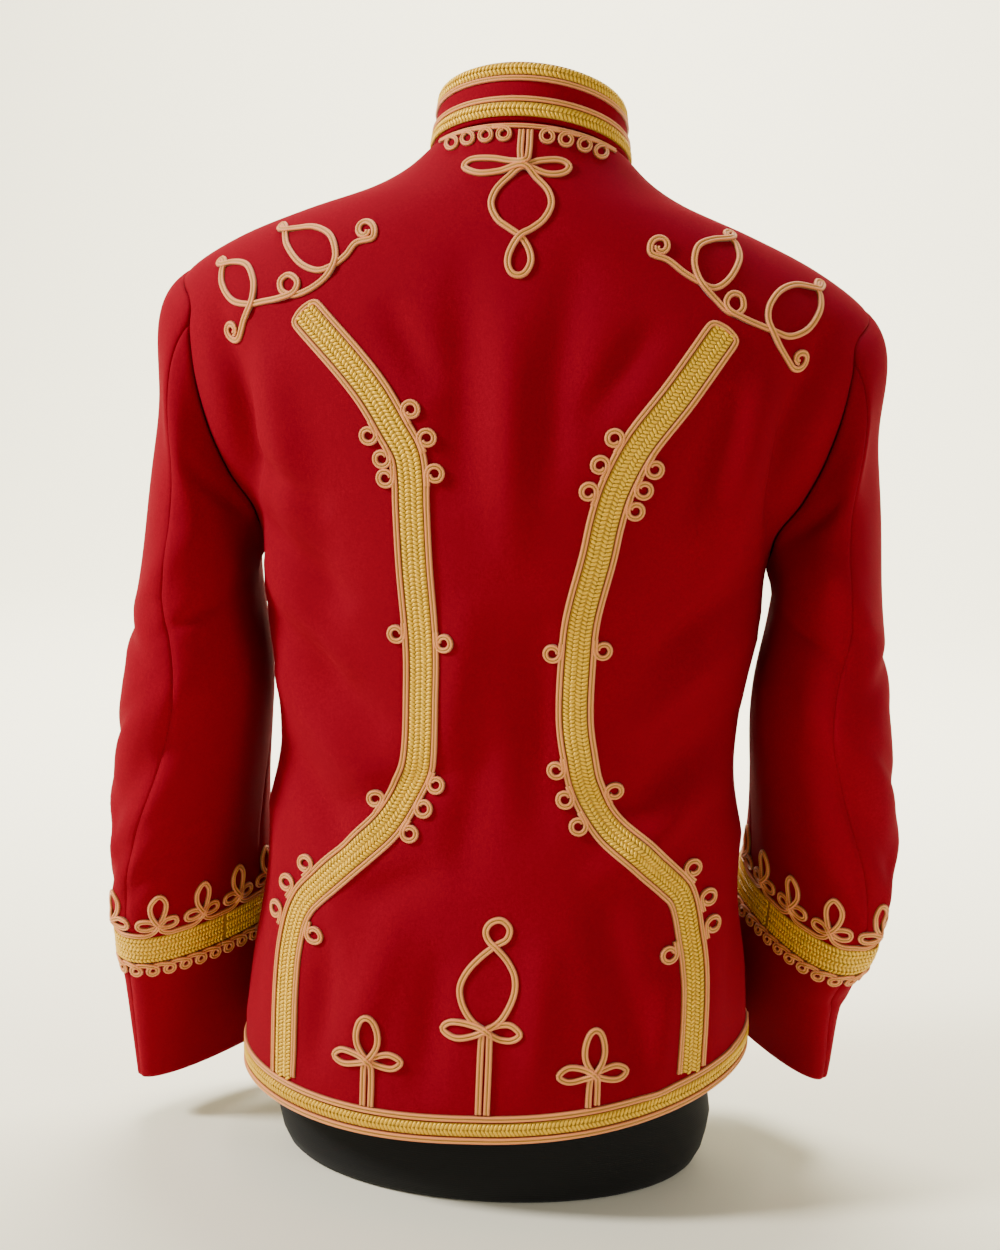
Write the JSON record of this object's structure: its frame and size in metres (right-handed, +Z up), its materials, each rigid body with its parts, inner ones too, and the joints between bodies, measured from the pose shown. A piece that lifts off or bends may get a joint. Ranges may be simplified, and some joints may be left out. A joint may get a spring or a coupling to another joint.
{
  "type": "hussar tunic on a dress form",
  "caption": "Short braided hussar tunic in red wool cloth with stand collar and set-in sleeves, trimmed with gold lace and cord knots, worn by a black limbless dress form on a flat base.",
  "frame": {"origin": "middle of the part's box at the height of the form's flat base", "axes": "+Z up, -Y out of the wearer's back, +X towards the wearer's right"},
  "size_m": [0.5474, 0.2562, 0.748],
  "materials": {
    "cloth": "red melton wool with a short nap",
    "lace": "plaited gold wire lace",
    "cord": "salmon silk and gold braid cord",
    "form": "matt black jersey",
    "gilt": "gilt"
  },
  "bodies": {
    "root": {"back": "cloth", "back_cord_left": "cord", "back_cord_right": "cord", "back_lace_left": "lace", "back_lace_right": "lace", "button_1": "gilt", "button_2": "gilt", "button_3": "gilt", "button_4": "gilt", "button_5": "gilt", "button_6": "gilt", "button_7": "gilt", "button_8": "gilt", "collar": "cloth", "collar_cord_low": "cord", "collar_cord_top": "cord", "collar_lace_low": "lace", "collar_lace_top": "lace", "cuff_cord_high_left": "cord", "cuff_cord_high_right": "cord", "cuff_cord_low_left": "cord", "cuff_cord_low_right": "cord", "cuff_lace_left": "lace", "cuff_lace_right": "lace", "dress_form": "form", "front_left": "cloth", "front_right": "cloth", "hem_cord_high": "cord", "hem_cord_low": "cord", "hem_lace": "lace", "neck_cord": "cord", "neck_knot": "cord", "shoulder_knot_left": "cord", "shoulder_knot_right": "cord", "sleeve_top_left": "cloth", "sleeve_top_right": "cloth", "sleeve_under_left": "cloth", "sleeve_under_right": "cloth", "tail_knot": "cord", "tail_trefoil_left": "cord", "tail_trefoil_right": "cord"}
  },
  "joints": []
}
